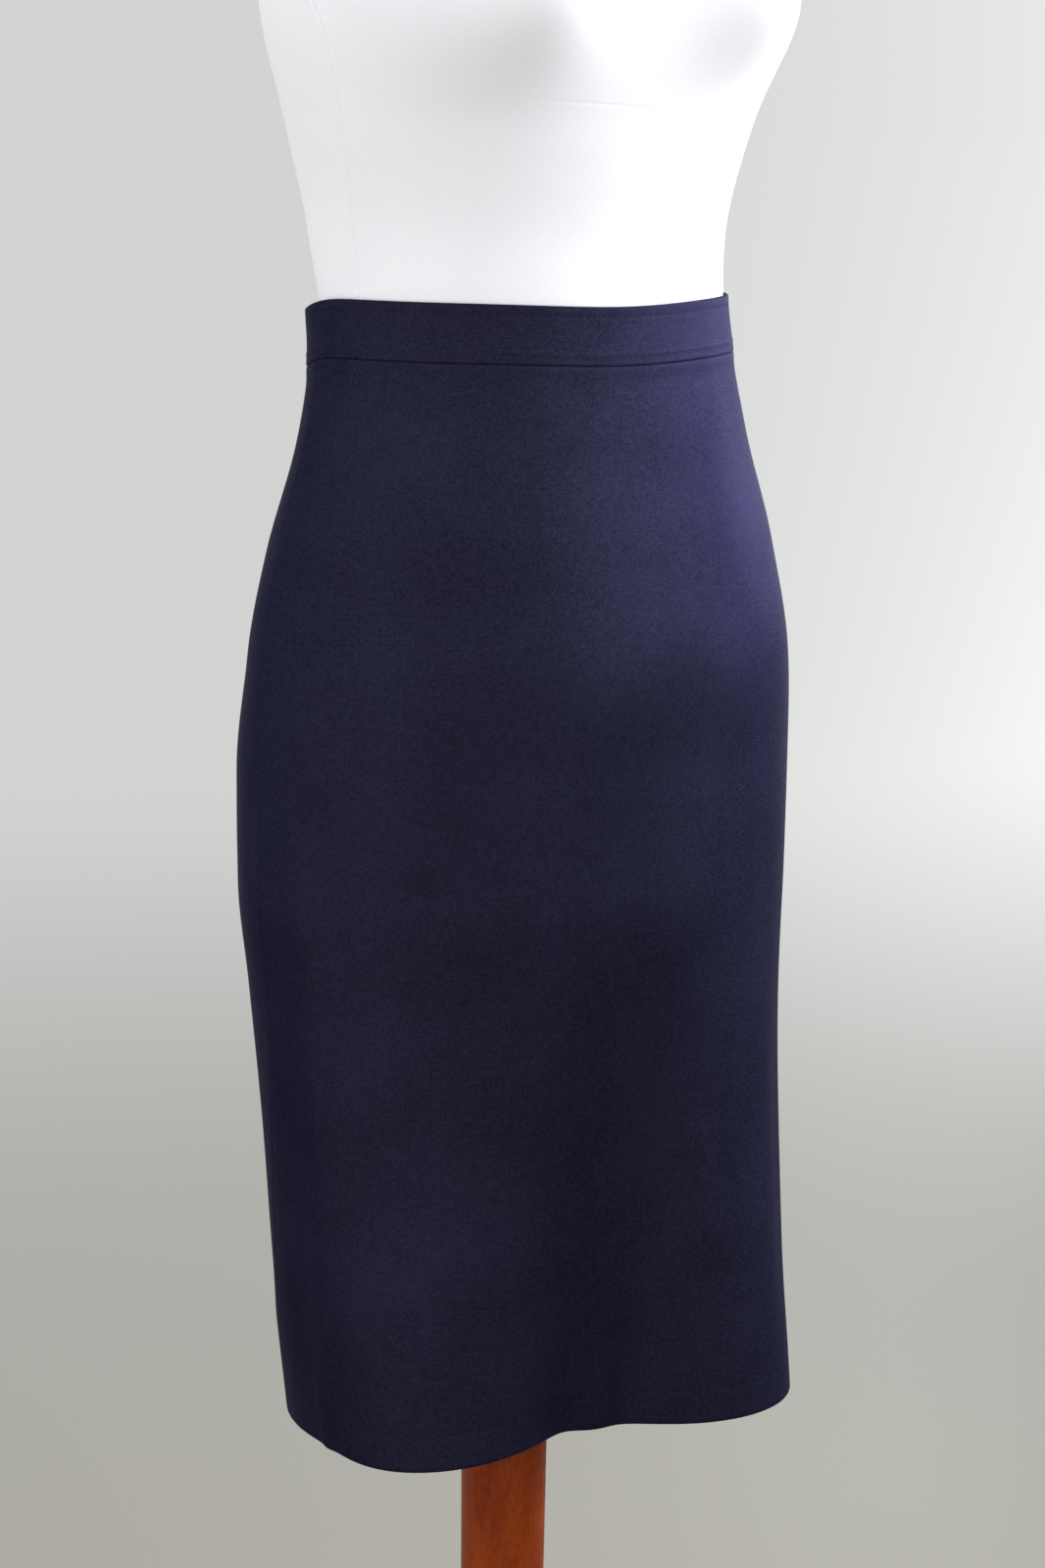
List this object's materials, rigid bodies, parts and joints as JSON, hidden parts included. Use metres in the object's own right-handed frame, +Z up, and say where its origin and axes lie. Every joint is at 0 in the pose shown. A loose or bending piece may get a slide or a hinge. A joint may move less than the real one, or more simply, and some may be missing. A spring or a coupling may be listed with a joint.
{
  "type": "pencil skirt on a dress form",
  "caption": "Knee-length pencil skirt in plain knit with an elastic waistband, pulled over a limbless dress form on a wooden pole and round base.",
  "frame": {"origin": "middle of the underside of the round base, on the floor, under the pole", "axes": "+Z up along the pole, -Y towards the front of the skirt, +X towards the wearer's left"},
  "size_m": [0.4, 0.4, 1.49],
  "materials": {
    "navy_knit": "matte double knit with a soft sheen",
    "form_cover": "smooth white stretch cover",
    "stained_wood": "reddish brown stain under satin varnish"
  },
  "bodies": {
    "root": {"skirt_front": "navy_knit", "skirt_back": "navy_knit", "waistband": "navy_knit", "form_torso": "form_cover", "form_pole": "stained_wood", "form_base": "stained_wood"}
  },
  "joints": []
}
